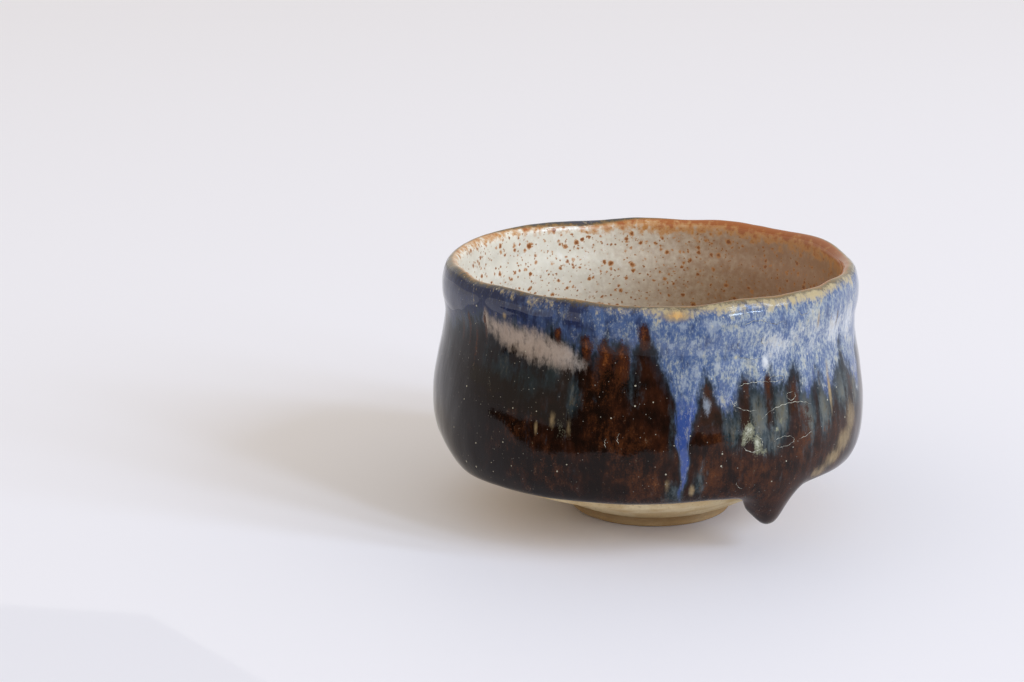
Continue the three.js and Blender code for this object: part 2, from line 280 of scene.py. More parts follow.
def above_edge(azimuth, z):
    """How far a point is above the cobalt edge, in mm, held between -16 and 9. The runs wander as they go
    down, and a few samples side by side are averaged, so a run's steep sides are as soft as its end."""
    azimuth = azimuth + 0.45 * np.sin(z / 2.7 + azimuth / 9) + 0.3 * np.sin(z / 1.15 + azimuth / 4)
    sides = [-0.9, -0.45, 0, 0.45, 0.9]
    return np.mean([np.clip(z - eased_ring(COBALT_EDGE, azimuth + side), -16, 9) for side in sides], axis=0)


# %% Spots of the other colours: (azimuth, height, half width, half height, strength), the middle three in mm
RUST_SPOTS = [
    (209, 62, 0.8, 4, 1), (213, 64, 0.9, 4, 1), (216.5, 61, 1.0, 4, 0.8), (221, 66, 0.9, 3.5, 1),
    (246.2, 66.4, 1.5, 2.2, 1.3), (254, 64, 2.3, 3.6, 1.3), (259, 61.5, 3.0, 4.6, 1.3),
    (263.6, 61, 2.4, 6, 1.2), (269, 68, 1.9, 3.2, 1.3), (285.4, 52, 1.6, 2.2, 1.0), (296, 52.5, 1.1, 2.6, 1.1),
    (302.5, 52.3, 1.4, 2.8, 1.2), (311, 50, 2.0, 4.2, 0.8), (314, 41, 2.6, 5.5, 0.9), (321, 51, 1.0, 3, 0.7),
    (331, 66, 0.7, 3.5, 1.0), (337, 45, 1.6, 6, 0.7), (262, 37, 9, 8, 0.55), (270, 31, 8, 10, 0.55),
    (287, 33, 9, 11, 0.6), (299, 27, 10, 8, 0.6), (246, 30, 9, 6, 0.42), (311, 34, 9, 10, 0.55),
    (324, 36, 9, 10, 0.5), (258, 50, 7, 7, 0.45), (236, 38, 8, 10, 0.3), (9, 55, 1.4, 4, 1),
    (29, 57, 1.3, 3, 1.2), (48, 59, 1.8, 3.5, 1.1), (90, 58, 1.6, 4, 1.1), (128, 60, 1.8, 3, 1.2),
    (142, 50, 1.2, 5, 0.8), (184, 60, 1.5, 3.5, 1.1), (193, 61, 1.2, 3, 1), (20, 32, 8, 8, 0.5),
    (66, 30, 9, 7, 0.55), (118, 33, 8, 8, 0.5), (156, 28, 9, 6, 0.5), (352, 34, 5, 8, 0.6),
]
CLOUD_SPOTS = [
    (221.5, 66.5, 1.8, 3.4, 1.0), (224.5, 64.8, 3.6, 3.2, 0.95), (229, 63.8, 5, 4.8, 0.9),
    (234, 62.8, 5.5, 4.8, 0.95), (239, 62.4, 5.5, 5.2, 0.95), (244, 61.4, 5, 4.8, 0.95),
    (248.5, 60.4, 4, 4.0, 0.85), (252.5, 58.8, 3.4, 3.4, 0.7), (306, 62.5, 7, 7, 0.7), (313, 65, 5, 5, 0.5),
    (320, 63.5, 6, 6.5, 0.6), (330, 63, 8, 6.5, 0.8), (340, 63, 7, 7, 0.85), (302.4, 58.2, 1.8, 2.4, 0.9),
    (317, 58, 3, 3.4, 0.5), (58, 63, 6, 4, 0.9), (66, 61, 5, 5, 0.8), (118, 66, 5, 3.5, 0.9),
    (125, 65, 5, 4, 0.8), (160, 64, 6, 5, 0.9), (192, 66, 4, 3, 0.7), (20, 66, 6, 3, 0.6), (121, 63, 3, 6, 0.7),
    (155, 62, 4, 4, 0.7), (165, 66, 7, 2.4, 0.8), (63, 64.5, 9, 2.6, 0.8),
]
OCHRE_SPOTS = [
    (277.4, 73, 5, 2, 1.3), (271, 73.8, 2, 0.9, 0.6), (229.2, 68.6, 0.9, 1.1, 1.0), (325, 47, 0.9, 8, 1.0),
    (320.5, 67, 0.8, 3, 0.9), (327, 66, 0.6, 3, 0.6), (246, 42.5, 1.2, 3.2, 0.7), (241.5, 39.5, 0.9, 2.2, 0.7),
    (250.5, 41, 1, 3, 0.6), (281.6, 24, 1.1, 2.4, 0.8), (275.2, 26, 1.0, 3, 0.6), (321, 23, 4.6, 2.6, 0.7),
    (326, 26, 4.8, 3.2, 0.75), (331, 30, 4.8, 4.2, 0.75), (335, 36, 4, 6, 0.7), (339, 44, 3, 6, 0.45),
    (15, 28, 2, 6, 0.6), (85, 72.5, 3, 1.2, 1.0), (150, 73.2, 4, 1.3, 1.1), (100, 30, 1, 5, 0.7),
    (190, 40, 1, 7, 0.6),
]
SAGE_SPOTS = [
    (296.2, 40, 1.7, 2.6, 1.2), (298.4, 36, 1.4, 3.2, 1.1), (294.8, 37.2, 1.2, 1.5, 0.8),
    (300.3, 33.6, 1.2, 1.4, 0.8), (304.2, 39.4, 0.7, 0.8, 1.1), (305.6, 41.2, 0.5, 0.6, 1.1),
    (249, 41.5, 1.6, 3.6, 0.55), (64, 40, 2, 3, 0.8),
]
HAZE_SPOTS = [
    (228, 55, 6, 6, 0.8), (237, 52, 6, 7, 0.8), (244, 55, 4, 6, 0.8), (251, 49, 3, 8, 0.7),
    (266, 54, 3, 6, 0.6), (221, 55, 3, 6, 0.5), (276, 40, 1.2, 10, 0.5), (277, 23, 3, 4, 0.7),
    (283, 26, 2, 6, 0.6), (291.5, 41, 3, 7, 0.9), (299, 44, 2.6, 9, 1.15), (306, 44, 2.8, 9, 1.1),
    (315, 42, 3, 11, 1.1), (322, 43, 3.4, 10, 1.0), (331, 47, 4, 9, 0.9), (340, 46, 5, 9, 0.8),
    (303, 36, 3, 5, 0.7), (4, 45, 4, 8, 0.7), (60, 48, 5, 8, 0.7), (80, 42, 4, 9, 0.6), (112, 44, 4, 9, 0.7),
    (160, 47, 5, 8, 0.7), (199, 52, 5, 7, 0.6), (38, 25, 3, 8, 0.7), (104, 20, 3, 7, 0.7),
]
PALE_SPOTS = [
    (286.6, 69.3, 2.8, 2.6, 1.0), (279, 69.8, 1.3, 1.4, 1.0), (276, 64.3, 1.0, 1.0, 1.0),
    (283.4, 62, 1.3, 1.6, 0.8), (281.2, 65, 1.2, 1.2, 0.8), (293.4, 60.2, 1.2, 1.0, 1.4),
    (288, 58, 1.2, 2.4, 0.7), (279.5, 54, 1.6, 3, 0.8), (282, 57, 1.6, 2.2, 0.8), (298, 68, 4, 2, 0.55),
    (285, 48, 1.2, 3, 0.9), (316, 70, 2, 1.4, 0.7), (262, 70, 2, 1.2, 0.4), (40, 66, 3, 3, 0.8),
    (75, 66, 2, 3, 0.8), (135, 68, 3, 2, 0.8),
]


def spots(azimuth, z, places, tail=1.0):
    """Many bells, melted together by the root of their summed squares. Each falls to a third at its half
    width and half height, and its lower half is drawn out by tail."""
    field = np.zeros(np.broadcast(azimuth, z).shape)
    for centre, height, half_width, half_height, strength in places:
        across = away(azimuth, centre) * np.pi / 180 * BELLY_RADIUS / half_width
        down = (z - height) / (half_height * np.where(z < height, tail, 1.0))
        field = field + (strength * np.exp(-(across**2) - down**2)) ** 2
    return np.sqrt(field)


# The outside is painted lighter round the first azimuth, towards the window, as painted light; round the second the
# inside is browner, partly in its glaze and partly as painted shade.
PAINTED_LIT_AZIMUTH, BROWN_AND_SHADED_AZIMUTH = 318, 25


def glaze_fields(azimuth, along, z):
    """Every field of the outside, for the material to read. cobalt, from_crest and below_lip are in mm, the
    others are shares. cloud is -0.5 away from its spots, so that noise alone never makes it milky."""
    # Painted light: the next share is 1 on the side towards the window and 0 on the far side, and the outside
    # colours are painted lighter by it.
    sunny = facing(azimuth, PAINTED_LIT_AZIMUTH)
    return dict(
        cobalt=above_edge(azimuth, z),
        from_crest=CREST_AT - along,
        below_lip=CREST_AT - along + 2.4 * near(azimuth, 116, 24),
        pale_lip=rise(CREST_AT - along, 8, 1) * (0.35 + 0.65 * near(azimuth, 312, 55)),
        rust=spots(azimuth, z, RUST_SPOTS, tail=1.7),
        cloud=1.5 * spots(azimuth, z, CLOUD_SPOTS, tail=1.25) - 0.5,
        ochre=spots(azimuth, z, OCHRE_SPOTS),
        sage=spots(azimuth, z, SAGE_SPOTS),
        # Painted light: the haze is weighted towards the window side, so it shows mostly where the light falls.
        haze=spots(azimuth, z, HAZE_SPOTS) * sunny,
        pale=spots(azimuth, z, PALE_SPOTS),
        sunny=sunny,
        # Partly painted shade: the browner side of the inside, away from the window.
        brown_and_shaded_side=facing(azimuth, BROWN_AND_SHADED_AZIMUTH),
        low=rise(z, 57, 42),
    )


# %% [markdown]
# ## The coats of glaze
# Glaze is about a millimetre thick. It ends in a rounded bead above the bare clay, swells where it ran, and
# gathers into one drop that hung from the hip when the kiln cooled. A sculpted blob would have to be joined
# on, so the drop is a bell-shaped pull on the same surface, and coat and drop stay one skin.

# %% The uneven hand: waves and throwing rings
AROUND = 960  # columns round the bowl
azimuth = np.linspace(0, 360, AROUND, endpoint=False)[None, :]


def ripples(azimuth, z, seed, across=(5, 26), up=(0.05, 0.3), count=14):
    """Sum of sine waves round and up the wall, with random phases, scaled to stay near 1 either way."""
    pick = np.random.default_rng(seed)
    turns = pick.integers(across[0], across[1], count)
    climbs = pick.uniform(up[0], up[1], count) * pick.choice([-1, 1], count)
    phases = pick.uniform(0, 2 * np.pi, count)
    waves = [np.sin(np.radians(azimuth) * n + z * k + p) for n, k, p in zip(turns, climbs, phases)]
    return np.sum(waves, axis=0) / np.sqrt(count)


def hand(azimuth, along):
    """Unevenness of the thrown wall in mm: broad dents, finer ripples and faint level throwing rings."""
    broad = 0.2 * ripples(azimuth, along, 3, across=(3, 14), up=(0.03, 0.12))
    fine = 0.02 * ripples(azimuth, along, 5, across=(20, 60), up=(0.15, 0.5))
    rings = 0.035 * np.sin(along / 2.6 + 1.2 * np.sin(np.radians(azimuth) + 0.6))
    return broad + fine + rings


# %% The drop that hangs from the hip
DROP_AZIMUTH, DROP_ALONG = 307.5, -1.6
DROP_LENGTH, DROP_HALF_WIDTH = 10.6, 7.2
DROP_RADIUS = 57  # from the axis


def beside_drop(azimuth):
    """Distance to the side of the drop's middle, in mm."""
    return away(azimuth, DROP_AZIMUTH) * np.pi / 180 * DROP_RADIUS


def hem(azimuth):
    """Where the iron glaze ends, along the skin: a wavering line, 1.8 mm higher at azimuth 236, that dips
    8.6 mm under the bowl at the drop."""
    waver = 0.35 * ripples(azimuth, 0, 8, across=(3, 30)) + 1.8 * near(azimuth, 236, 16)
    return waver - 8.6 * np.exp(-((beside_drop(azimuth) / 9) ** 4))


def drop_pull(azimuth, along):
    """How far the glaze is pulled down into the drop, in mm: its whole length at its middle, falling as a
    bell that is wider than it is deep."""
    half_depth = np.where(along < DROP_ALONG, 5.0, 6.2)
    distance = np.hypot(beside_drop(azimuth) / DROP_HALF_WIDTH, (along - DROP_ALONG) / half_depth)
    return DROP_LENGTH * np.exp(-(distance**2.3)) * rise(along - hem(azimuth), 0.2, 3.2)


def glazed_point(azimuth, along, lift):
    """A point of the glaze in mm: the skin moved outwards by lift and the uneven hand, then pulled to the drop."""
    radius, z = skin(along, lift + hand(azimuth, along) * rise(along, -2, 4))
    pull = drop_pull(azimuth, along)
    lean = np.degrees(0.12 * pull / DROP_RADIUS)
    return place(azimuth + lean, radius - 0.16 * pull, z - 0.97 * pull)


def coat_mesh(name, along, lifts):
    """A coat of glaze as one closed loop of rows, with every field of the outside on it."""
    points = glazed_point(azimuth, along, lifts)
    return grid_mesh(name, points, loop=True, **glaze_fields(azimuth, along, points[..., 2]))


# %% Iron glaze, with the drop
def iron_coat():
    """Rows from the hem up the face to the lip band, and back down behind. The hem is a quarter ellipse."""
    bead = 1.7
    start = hem(azimuth)
    share = np.concatenate([np.linspace(0, 0.03, 7)[:-1], np.linspace(0.03, 1, 84)])[:, None]
    face = start + (BAND_START + 1.0 - start) * share
    edge = np.clip((face - start) / bead, 0, 1)
    swell = 0.25 * np.exp(-(((face - start - 2.4) / 2) ** 2))
    lift = -COAT + COAT * np.sqrt(1 - (1 - edge) ** 2) + swell - 0.4 * rise(face, BAND_START + 0.3, BAND_START + 1.0)
    behind = start + (BAND_START - start) * np.array([1, 0.66, 0.33, 0.0])[:, None]
    along = np.vstack([face, behind])
    lifts = np.vstack([lift, np.full_like(behind, -COAT - 0.1)])
    return coat_mesh("outer_iron_glaze", along, lifts)


outer_iron_glaze = iron_coat()
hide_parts("outer_glaze", "glaze_drop")


# %% Cobalt glaze over the iron glaze
def cobalt_coat():
    """A thin lens over the iron face. Its edge lies under the iron's surface and rises over 6 mm, so the run
    swells out of the dark glaze with no step."""
    skin_per_height = 1.02
    reach = CREST_AT - (HEIGHT - eased_ring(COBALT_EDGE, azimuth)) * skin_per_height
    reach = np.mean([np.roll(reach, n, axis=1) for n in range(-2, 3)], axis=0)
    start = np.maximum(reach - 1.0, hem(azimuth) + 0.8)
    share = np.linspace(0, 1, 60)[:, None]
    face = start + (BAND_START + 0.2 - start) * share
    lift = -0.14 + 0.32 * rise(face - start, 0, 6) - 0.34 * rise(face, BAND_START - 5, BAND_START + 0.2)
    behind = face[::-12]
    lifts = np.vstack([lift, np.full_like(behind, -0.5)])
    return coat_mesh("cobalt_glaze_runs", np.vstack([face, behind]), lifts)


cobalt_runs = cobalt_coat()
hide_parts("blue_glaze")


# %% Ochre glaze over the lip
def lip_coat():
    """The band over the crest, from outside to inside, a hair proud of its neighbours in the middle."""
    face = np.linspace(BAND_START - 1.0, BAND_END + 1.0, 30)[:, None] + 0 * azimuth
    lift = 0.02 - 0.1 * np.abs((face - CREST_AT - 0.2) / 2.8) ** 4
    behind = face[::-6]
    lifts = np.vstack([lift, np.full_like(behind, -0.6)])
    return coat_mesh("ochre_lip_glaze", np.vstack([face, behind]), lifts)


ochre_lip = lip_coat()
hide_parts("lip_glaze")


# %% Cream glaze inside
def cream_coat():
    """Rows from the lip down the inside to the middle of the floor, where a pole closes it; then a second
    sheet under it, in the clay."""
    columns = azimuth[:, ::2]
    down = BAND_END - 1.2 + (SKIN_END + 0.5 - BAND_END) * np.linspace(0, 1, 112)[:, None] + 0 * columns
    face = glazed_point(columns, down, -0.4 * rise(down, BAND_END - 0.5, BAND_END - 1.2))
    behind = down[::-8]
    under = glazed_point(columns, behind, np.full_like(behind, -0.75))
    along = np.vstack([behind, down])
    points = np.vstack([under, face])
    centres = [points[0].mean(axis=0), points[-1].mean(axis=0)]
    fields = dict(from_crest=CREST_AT - along, brown_and_shaded_side=facing(columns, BROWN_AND_SHADED_AZIMUTH))
    return grid_mesh("speckled_cream_glaze", points, poles=centres, **fields)


cream_lining = cream_coat()
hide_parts("inner_glaze")

# %% [markdown]
# ## Pale threads in the glaze
# Where the glaze crept and healed, hair-fine pale threads stand in its surface, in bars, loops and hooks. A
# bump map would be too coarse for a line under a fifth of a millimetre wide, so each one is a thin tube laid
# along the wall and sunk to half its thickness.

# %% Threads: (azimuth, height in mm, half width in degrees, half height in mm, start angle, sweep)
THREADS = [
    (298.6, 52.0, 4.6, 0.8, 170, -150), (305.4, 52.9, 2.4, 0.7, 180, -330), (309.6, 47.6, 1.5, 1.1, 60, 340),
    (298.5, 49.5, 7.0, 4.2, 185, 85), (309.0, 41.0, 9.5, 4.8, 160, -120), (297.2, 36.3, 2.6, 2.2, 100, 340),
    (306.3, 35.6, 3.2, 1.4, 160, -310), (311.2, 37.8, 5.2, 2.4, 270, 60), (299.0, 67.6, 4.0, 2.1, 150, -120),
    (305.0, 69.8, 2.4, 1.6, 200, 130), (301.0, 61.8, 8.0, 3.0, 200, 70), (294.4, 63.3, 0.6, 0.9, 90, 200),
    (301.4, 64.0, 0.5, 1.0, 100, 190), (293.4, 47.0, 1.1, 1.3, 120, 140), (260.6, 37.6, 0.8, 1.5, 130, 110),
    (264.4, 39.0, 1.5, 2.0, 130, 90), (295.0, 26.2, 2.0, 2.4, 190, 80), (314.4, 71.2, 2.0, 1.6, 200, 140),
    (294.8, 39.4, 0.8, 1.2, 80, -170),
]
THREAD_RADIUS, THREAD_SIDES = 0.09, 6
up_the_wall = curve[: SPAN_POINTS * len(outside)]


def threads():
    """Each thread follows part of an ellipse on the wall, with a small shake. It is a six-sided tube, up to
    0.09 mm in radius and pinched at both ends: its rings stand square to the way it runs."""
    turn = np.radians(np.arange(THREAD_SIDES) * 360 / THREAD_SIDES)[None, :, None]
    vertices, faces, first = [], [], 0
    for centre_azimuth, height, half_width, half_height, start, sweep in THREADS:
        angle = np.radians(start + sweep * np.linspace(0, 1, 40))
        way = np.stack([centre_azimuth + half_width * np.cos(angle), height + half_height * np.sin(angle)], axis=-1)
        way = way + 0.12 * np.stack([np.sin(7 * way[:, 1] + way[:, 0]), np.sin(3 * way[:, 0])], axis=-1)
        along = np.interp(way[:, 1], up_the_wall[:, 1], along_curve[: len(up_the_wall)])
        lift = 0.02 + 0.2 * rise(above_edge(way[:, 0], way[:, 1]), 0, 5)
        centre, above = glazed_point(way[:, 0], along, lift), glazed_point(way[:, 0], along, lift + 1)
        out = above - centre
        forwards = np.gradient(centre, axis=0)
        aside = np.cross(out, forwards)
        aside /= np.linalg.norm(aside, axis=1)[:, None]
        pinch = np.sin(np.pi * np.linspace(0.03, 0.97, len(way))) ** 0.4
        thick = THREAD_RADIUS * pinch * (0.7 + 0.3 * np.sin(2.3 * np.arange(len(way))))
        ring = np.cos(turn) * out[:, None] + np.sin(turn) * aside[:, None]
        vertices.append((centre[:, None] + thick[:, None, None] * ring).reshape(-1, 3))
        number = first + np.arange(len(way) * THREAD_SIDES).reshape(-1, THREAD_SIDES)
        nexts = np.roll(number, -1, axis=1)
        faces += np.stack([number[:-1], nexts[:-1], nexts[1:], number[1:]], axis=-1).reshape(-1, 4).tolist()
        faces += [number[0][::-1].tolist(), number[-1].tolist()]
        first += number.size
    mesh = bpy.data.meshes.new("pale_glaze_threads")
    mesh.from_pydata((np.vstack(vertices) / 1000).tolist(), [], faces)
    mesh.polygons.foreach_set("use_smooth", np.ones(len(mesh.polygons), bool))
    piece = bpy.data.objects.new("pale_glaze_threads", mesh)
    scene.collection.objects.link(piece)
    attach(piece, "root")
    print(f"pale_glaze_threads: {len(THREADS)} threads, {len(mesh.polygons)} faces")
    return piece


glaze_threads = threads()

# %% [markdown]
# ## Bare clay and the turned foot
# The underside was trimmed on the wheel with a loop tool, which leaves shallow rings and drags grit through
# the clay. The rings are real relief in the mesh; the grit is finer and stays in the material.

# %% Clay body
RING_SPACING = 2.3


def trimmed(azimuth, distance):
    """Relief of the trimming in mm: even rings that the tool's chatter makes slightly uneven."""
    wander = 0.5 * ripples(azimuth, distance, 21, across=(1, 5))
    rings = 0.09 * np.sin((distance + wander) * 2 * np.pi / RING_SPACING)
    return rings + 0.05 * ripples(azimuth, distance, 22, across=(8, 60), up=(0.8, 2.5))


def clay_body():
    """One closed surface: the recess in the foot, the bare cone, then up, over and down under the glazes."""
    columns = azimuth[:, ::2]
    section = np.array([
        (0.5, RECESS_DEPTH), (0.4 * FOOT_INNER, RECESS_DEPTH - 0.1), (0.75 * FOOT_INNER, RECESS_DEPTH - 0.3),
        (FOOT_INNER - 0.2, FOOT_HEIGHT - 0.6), (FOOT_INNER + 1, FOOT_HEIGHT - 0.9),
        (FOOT_RADIUS - 0.6, FOOT_HEIGHT - 0.9), (FOOT_RADIUS + 0.1, FOOT_HEIGHT - 0.5),
        (FOOT_RADIUS + 0.9, FOOT_HEIGHT + 0.4), (FOOT_EDGE, FOOT_EDGE_Z + 0.1),
    ])
    low = smooth_through(section, 4)
    cone_radius = np.linspace(FOOT_EDGE + 0.8, 46, 20)
    low = np.vstack([low, np.stack([cone_radius, underside_z(cone_radius)], axis=-1)])
    low_radius, low_z = low[:, :1] + 0 * columns, low[:, 1:] + 0 * columns
    low_z = low_z - trimmed(columns, low_radius) * rise(low_radius, FOOT_RADIUS + 1, FOOT_RADIUS + 4)
    under = place(columns, low_radius, low_z)
    along = np.concatenate([np.linspace(-11.5, 4, 26), np.linspace(5, SKIN_END - 1, 60)])[:, None] + 0 * columns
    bare = rise(along, 4, 0)
    lift = -COAT - 0.12 + 0.1 * bare + trimmed(columns, along) * bare
    lift = np.where(along > BAND_START, -0.62, lift)
    radius, z = skin(along, lift + hand(columns, along) * rise(along, -2, 4))
    points = np.vstack([under, place(columns, radius, z)])
    return grid_mesh("buff_clay_body", points, poles=[points[0].mean(axis=0), points[-1].mean(axis=0)])


body = clay_body()
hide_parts("clay_body")


# %% Foot ring
def foot_ring():
    """A closed section turned round the shifted axis: level standing face, rounded and slightly chipped edges."""
    columns = azimuth[:, ::2]
    section = np.array([
        (FOOT_INNER + 1.1, 0), (FOOT_INNER + 2.6, 0), (FOOT_RADIUS - 2, 0), (FOOT_RADIUS - 0.7, 0.02),
        (FOOT_RADIUS - 0.1, 0.5), (FOOT_RADIUS - 0.2, 1.3), (FOOT_RADIUS + 0.1, 2.1),
        (FOOT_RADIUS + 0.5, FOOT_HEIGHT), (FOOT_RADIUS - 2, FOOT_HEIGHT), (FOOT_INNER + 1, FOOT_HEIGHT),
        (FOOT_INNER - 0.5, FOOT_HEIGHT - 0.1), (FOOT_INNER + 0.1, 1.5), (FOOT_INNER + 0.3, 0.5),
        (FOOT_INNER + 1.1, 0),
    ])
    ring = smooth_through(section, 4)[:-1]
    radius, z = ring[:, :1] + 0 * columns, ring[:, 1:] + 0 * columns
    outwards = rise(radius, FOOT_RADIUS - 1.2, FOOT_RADIUS - 0.4)
    chips = np.clip(ripples(columns, 0, 31, across=(9, 70)) - 1.5, 0, 1) * np.exp(-((z / 0.9) ** 2))
    uneven = 0.1 * ripples(columns, z, 32, across=(2, 20), up=(0.5, 1.6)) * rise(z, 0.3, 1.2)
    radius = radius - outwards * (chips * 0.5 - uneven)
    return grid_mesh("turned_foot_ring", place(columns, radius, np.maximum(z, 0)), loop=True)


foot = foot_ring()
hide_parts("foot_ring")

# %% [markdown]
# ## Making materials with nodes
# All patterns read the object's own coordinates in millimetres, so a speck of half a millimetre stays half a
# millimetre. A few helpers are enough: one turns a hex colour into the linear values that Blender mixes, one
# adds a node with its settings and links, one starts a material, and one gives the millimetres.

# %% Helpers, and the places of the Mix node's sockets when it mixes colours
SHARE, UNDER, OVER, MIXED = 0, 6, 7, 2


def paint(hex_colour):
    """Linear colour from an sRGB hex value: divide by 12.92 below 0.04045, else ((c + 0.055) / 1.055) ^ 2.4."""
    channels = np.array([int(hex_colour[i:i + 2], 16) / 255 for i in (1, 3, 5)])
    linear = np.where(channels <= 0.04045, channels / 12.92, ((channels + 0.055) / 1.055) ** 2.4)
    return (*linear.tolist(), 1.0)


def add(tree, kind, links, out=0, **settings):
    """Adds a shader node, sets its properties, fills or links its inputs, and returns one of its outputs."""
    made = tree.nodes.new("ShaderNode" + kind)
    for name, value in settings.items():
        setattr(made, name, value)
    for socket, value in links.items():
        if isinstance(value, bpy.types.NodeSocket):
            tree.links.new(value, made.inputs[socket])
        else:
            made.inputs[socket].default_value = value
    return made.outputs[out] if made.outputs else made


def blank(name):
    """A new material with an empty node tree."""
    material = bpy.data.materials.new(name)
    material.use_nodes = True
    material.node_tree.nodes.clear()
    return material, material.node_tree


def millimetres(tree, stretch=1.0):
    """Object coordinates in mm. A stretch over 1 draws every pattern that much longer up and down."""
    place_on_object = add(tree, "TexCoord", {}, out="Object")
    return add(tree, "Mapping", {"Vector": place_on_object, "Scale": (1000, 1000, 1000 / stretch)})


# %% Noises, specks and layers
def noises(tree, table):
    """Noise patterns by name, each from its stretch up and down, its size in mm, its detail and roughness."""
    made = {}
    for name, (stretch, size, detail, rough) in table.items():
        pattern = {"Vector": millimetres(tree, stretch), "Scale": 1 / size, "Detail": detail, "Roughness": rough}
        made[name] = add(tree, "TexNoise", pattern, out="Fac")
    return made


def specks(tree, cell, size, keep, shake, crowd=0.0):
    """One speck to a Voronoi cell of so many mm: 1 in its middle, 0 from its rim on. A noise shakes its
    outline. Each cell's own random value sets the speck's size, and cells below keep stay empty, fewer of
    them where the crowd field is high."""
    flat = millimetres(tree)
    wobble = add(tree, "TexNoise", {"Vector": flat, "Scale": 1 / 0.8, "Detail": 2.0}, out="Color")
    shaken_place = add(tree, "VectorMath", {0: wobble, 1: (shake, shake, shake), 2: flat}, operation="MULTIPLY_ADD")
    far = add(tree, "TexVoronoi", {"Vector": shaken_place, "Scale": 1 / cell}, out="Distance")
    cell_colour = add(tree, "TexVoronoi", {"Vector": shaken_place, "Scale": 1 / cell}, out="Color")
    lot = add(tree, "SeparateColor", {0: cell_colour}, out=0)
    reach = size / cell
    grown = add(tree, "Math", {0: lot, 1: -reach, 2: far}, operation="MULTIPLY_ADD")
    inside = add(tree, "MapRange", {"Value": grown, "From Min": 0.75 * reach, "From Max": -0.6 * reach})
    crowded = add(tree, "Math", {0: crowd, 1: 0.12, 2: lot}, operation="MULTIPLY_ADD")
    chosen = add(tree, "MapRange", {"Value": crowded, "From Min": keep, "From Max": keep + 0.06})
    return add(tree, "Math", {0: inside, 1: chosen}, operation="MULTIPLY")


def roughened(tree, value, parts, amounts):
    """A value plus noises, each of which moves it by about its amount either way. Blender's noise hardly
    leaves 0.25 to 0.75, so its distance from a half is multiplied by four."""
    for name, amount in amounts.items():
        offset = add(tree, "Math", {0: parts[name], 1: 4 * amount, 2: -2 * amount}, operation="MULTIPLY_ADD")
        value = add(tree, "Math", {0: value, 1: offset}, operation="ADD")
    return value


def lay(tree, colour, parts, layers):
    """Lays colours over each other. Each layer is (colour, field, noise amounts, start, full, share): the field,
    roughened by its noises, covers nothing at start and its whole share at full. A colour is a hex value or
    one of the parts, and the field "even", which is none of them, is 0.5 everywhere."""
    for top, field, amounts, start, full, share in layers:
        value = roughened(tree, parts.get(field, 0.5), parts, amounts)
        cover = add(tree, "MapRange", {"Value": value, "From Min": start, "From Max": full, "To Max": share},
                    interpolation_type="SMOOTHSTEP")
        over = parts[top] if top in parts else paint(top)
        colour = add(tree, "Mix", {SHARE: cover, UNDER: colour, OVER: over}, out=MIXED, data_type="RGBA")
    return colour


# %% [markdown]
# ## Iron and cobalt: one melt, many colours
# Both outside glazes melted into each other, so they share one recipe. It lays colours over each other in the
# order in which they lie on the pot: brown-black iron with rust mottling, grey-green haze where a little
# cobalt has dissolved in it, cobalt blue with pale patches, milky clouds, rust fingers, ochre and sage
# streaks, ochre along the lip, and last the bubbles that burst at the surface and healed as pale pinpricks.
# A wide way from start to full gives a soft melt, and a short one a crisp drip. Long streaky noises comb the
# colours downwards, as the glaze ran. Iron, haze, blues and milky clouds are also painted lighter on the side
# towards the window: painted light.

# %% Noises of the melt: stretch, size in mm, detail, roughness
MELT_NOISES = {
    "streak": (9, 2.4, 3, 0.55), "fine_streak": (3.5, 0.8, 3, 0.55), "hair": (9, 0.3, 2, 0.55),
    "mottle": (1, 5.5, 3, 0.55), "fine_mottle": (2.2, 1.5, 4, 0.65), "grain": (1.7, 0.6, 4, 0.7),
    "grit": (1, 0.4, 2, 0.55),
}

# %% Cobalt blue: grey navy, painted lighter and clearer on the window side as painted light, granular, and deepest in the runs
# Painted light: the layers on the window side make the blue lighter, clearer and greyer there.
COBALT_BLUE = [
    ("#3e465f", "even", {"fine_mottle": 0.3, "streak": 0.3, "grain": 0.2}, 0.42, 0.95, 0.7),
    ("#485a7d", "sunny", {"mottle": 0.2, "streak": 0.14, "fine_streak": 0.1}, 0.52, 0.9, 1.0),
    ("#959c9e", "sunny", {"grain": 0.36, "fine_mottle": 0.3, "hair": 0.15, "mottle": 0.15}, 0.72, 1.3, 0.85),
    ("#2a3f7a", "low", {"hair": 0.2, "fine_streak": 0.3, "grain": 0.3}, 0.2, 1.0, 0.85),
    ("#2f3f6c", "even", {"hair": 0.25, "fine_streak": 0.3, "grit": 0.2}, 0.6, 0.95, 0.7),
    ("#a5a292", "sunny", {"mottle": 0.38, "fine_mottle": 0.32, "grain": 0.25}, 0.95, 1.6, 0.8),
    ("#4b4844", "even", {"fine_mottle": 0.36, "grit": 0.25}, 0.7, 0.98, 0.6),
    ("#9c8a69", "even", {"grain": 0.3, "fine_mottle": 0.3, "mottle": 0.25}, 0.72, 1.1, 0.75),
    ("#c4c4be", "sunny", {"grain": 0.25, "fine_streak": 0.2, "streak": 0.15, "mottle": 0.15}, 1.04, 1.6, 0.85),
]

